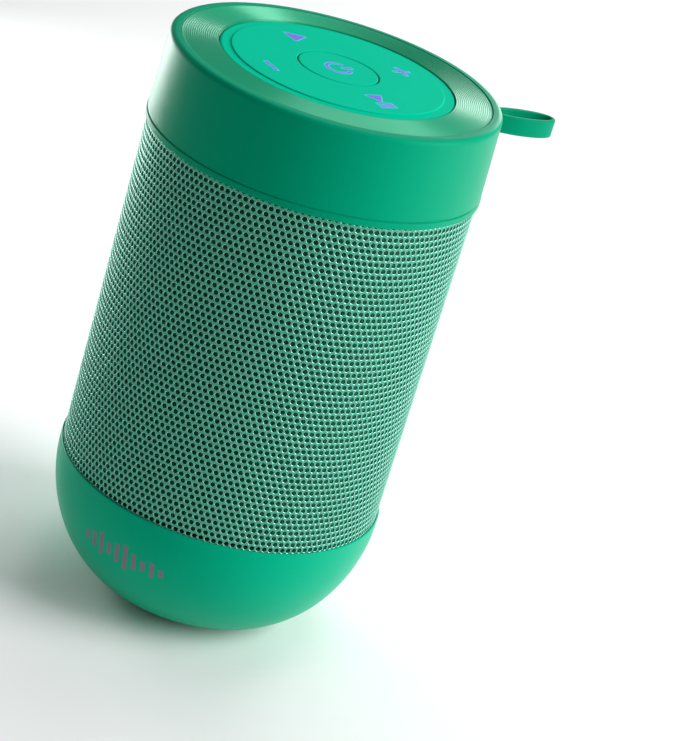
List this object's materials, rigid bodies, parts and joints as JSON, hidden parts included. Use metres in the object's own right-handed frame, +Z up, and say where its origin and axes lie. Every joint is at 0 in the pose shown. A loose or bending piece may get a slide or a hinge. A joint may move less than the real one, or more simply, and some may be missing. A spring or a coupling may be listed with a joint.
{
  "type": "portable bluetooth speaker",
  "caption": "Pocket cylinder speaker with a perforated metal sleeve, top-mounted silicone controls, bowl-shaped base, lanyard loop and covered charging port.",
  "frame": {"origin": "centre of the foot's underside, on the cylinder's axis", "axes": "+Z up along the axis towards the controls, +Y towards the lanyard loop and the charging port"},
  "size_m": [0.0679, 0.0839, 0.118],
  "materials": {
    "cap_plastic": "satin",
    "bowl_plastic": "satin",
    "trim_plastic": "spun satin",
    "pad_silicone": "matt",
    "strap_silicone": "matt",
    "sleeve_metal": "satin powder coat",
    "scrim_cloth": "woven",
    "foot_rubber": "matt",
    "inner_plastic": "moulded",
    "seal_rubber": "matt",
    "foam_pad": "foam",
    "plated_steel": "nickel plated",
    "bare_steel": "turned",
    "painted_basket": "satin",
    "ferrite": "ground ferrite",
    "coil_wire": "enamelled copper",
    "spider_cloth": "resin-dipped cloth",
    "cone_paper": "pressed pulp",
    "board_laminate": "solder mask",
    "part_plastic": "moulded",
    "led_lens": "clear",
    "connector_nylon": "moulded",
    "cell_wrap": "film",
    "lead_insulation": "extruded"
  },
  "bodies": {
    "housing": {"top_cap": "cap_plastic", "bottom_cap": "bowl_plastic", "trim_ring": "trim_plastic", "button_pad": "pad_silicone", "grille": "sleeve_metal", "acoustic_cloth": "scrim_cloth", "foot_pad": "foot_rubber", "electronics_tray": "inner_plastic", "sound_diffuser": "inner_plastic", "chamber_lid": "inner_plastic", "chamber_body": "inner_plastic", "lower_deck": "inner_plastic", "tray_seal": "seal_rubber", "chamber_gasket": "seal_rubber", "driver_gasket": "seal_rubber", "deck_seal": "seal_rubber", "driver_surround": "seal_rubber", "radiator_surround": "seal_rubber", "battery_pads": "foam_pad", "cap_screws": "plated_steel", "board_screws": "plated_steel", "tray_screws": "plated_steel", "chamber_screws": "plated_steel", "driver_screws": "plated_steel", "deck_screws": "plated_steel", "lanyard_pin": "plated_steel", "usb_c_socket": "plated_steel", "microphone": "plated_steel", "driver_top_plate": "bare_steel", "driver_yoke": "bare_steel", "driver_basket": "painted_basket", "radiator_frame": "painted_basket", "driver_magnet": "ferrite", "driver_spider": "spider_cloth", "main_board": "board_laminate", "tact_switches": "part_plastic", "amplifier_parts": "part_plastic", "bluetooth_module": "part_plastic", "indicator_leds": "led_lens", "battery_connector": "connector_nylon", "battery_cell": "cell_wrap", "speaker_leads": "lead_insulation", "battery_leads": "lead_insulation"},
    "power_button_body": {"power_button": "pad_silicone"},
    "volume_up_body": {"volume_up_key": "pad_silicone"},
    "volume_down_body": {"volume_down_key": "pad_silicone"},
    "play_body": {"play_key": "pad_silicone"},
    "mode_body": {"mode_key": "pad_silicone"},
    "lanyard": {"lanyard_loop": "strap_silicone"},
    "port_flap": {"port_cover": "strap_silicone"},
    "driver_motion": {"driver_cone": "cone_paper", "dust_cap": "cone_paper", "voice_coil": "coil_wire"},
    "radiator_motion": {"radiator_plate": "bare_steel"}
  },
  "joints": [
    {"name": "power_press", "type": "slide", "parent": "housing", "child": "power_button_body", "axis": [0, 0, -1], "range_m": [0, 0.0004], "stiffness_N_per_m": 150},
    {"name": "volume_up_press", "type": "slide", "parent": "housing", "child": "volume_up_body", "axis": [0, 0, -1], "range_m": [0, 0.0004], "stiffness_N_per_m": 150},
    {"name": "volume_down_press", "type": "slide", "parent": "housing", "child": "volume_down_body", "axis": [0, 0, -1], "range_m": [0, 0.0004], "stiffness_N_per_m": 150},
    {"name": "play_press", "type": "slide", "parent": "housing", "child": "play_body", "axis": [0, 0, -1], "range_m": [0, 0.0004], "stiffness_N_per_m": 150},
    {"name": "mode_press", "type": "slide", "parent": "housing", "child": "mode_body", "axis": [0, 0, -1], "range_m": [0, 0.0004], "stiffness_N_per_m": 150},
    {"name": "lanyard_swing", "type": "hinge", "parent": "housing", "child": "lanyard", "pos_m": [0, 0.0302, 0.1118], "axis": [0, 0, 1], "range_deg": [-25, 25]},
    {"name": "port_cover_open", "type": "hinge", "parent": "housing", "child": "port_flap", "pos_m": [-0.00665, 0.03314, 0.1048], "axis": [0, 0, 1], "range_deg": [0, 105]},
    {"name": "cone_excursion", "type": "slide", "parent": "housing", "child": "driver_motion", "axis": [0, 0, 1], "range_m": [-0.0015, 0.0015], "stiffness_N_per_m": 200, "deforming": ["driver_surround", "driver_spider"]},
    {"name": "radiator_excursion", "type": "slide", "parent": "housing", "child": "radiator_motion", "axis": [0, 0, 1], "range_m": [-0.0025, 0.0025], "stiffness_N_per_m": 200, "deforming": ["radiator_surround"]}
  ]
}
